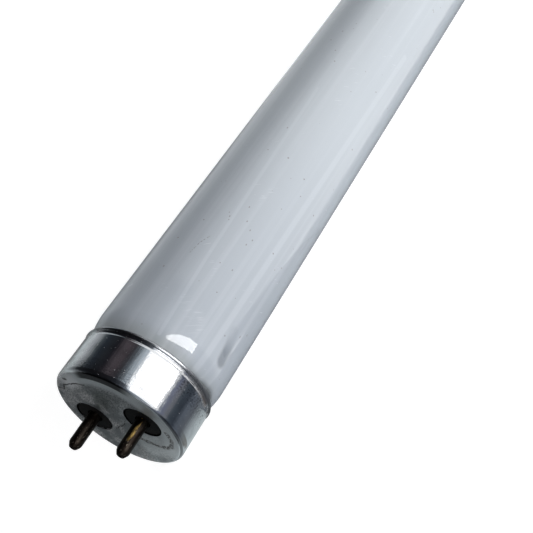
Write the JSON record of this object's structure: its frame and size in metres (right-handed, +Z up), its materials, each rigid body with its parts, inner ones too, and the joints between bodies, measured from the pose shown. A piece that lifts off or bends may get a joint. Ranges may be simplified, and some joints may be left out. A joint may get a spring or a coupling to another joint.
{
  "type": "fluorescent tube",
  "caption": "Straight fluorescent tube: milky glass tube with a metal end cap and a pair of contact pins at each end.",
  "frame": {"origin": "middle of the tube, on its axis", "axes": "+X along the tube towards the right cap, the two pins of each cap side by side along Y, +Z up"},
  "size_m": [0.6036, 0.026, 0.026],
  "materials": {
    "milky_glass": "smooth glass with a milky phosphor coating behind it",
    "cap_metal": "polished side wall, dull oxidised end face",
    "phenolic": "matte black moulding",
    "pin_brass": "tarnished nearly black",
    "cement": "matte brown basing cement",
    "wire_metal": "plain drawn wire"
  },
  "bodies": {
    "root": {"glass_tube": "milky_glass", "left_end_cap": "cap_metal", "right_end_cap": "cap_metal", "left_insulator": "phenolic", "right_insulator": "phenolic", "left_front_pin": "pin_brass", "left_rear_pin": "pin_brass", "right_front_pin": "pin_brass", "right_rear_pin": "pin_brass", "left_cement_ring": "cement", "right_cement_ring": "cement", "left_front_wire": "wire_metal", "left_rear_wire": "wire_metal", "right_front_wire": "wire_metal", "right_rear_wire": "wire_metal"}
  },
  "joints": []
}
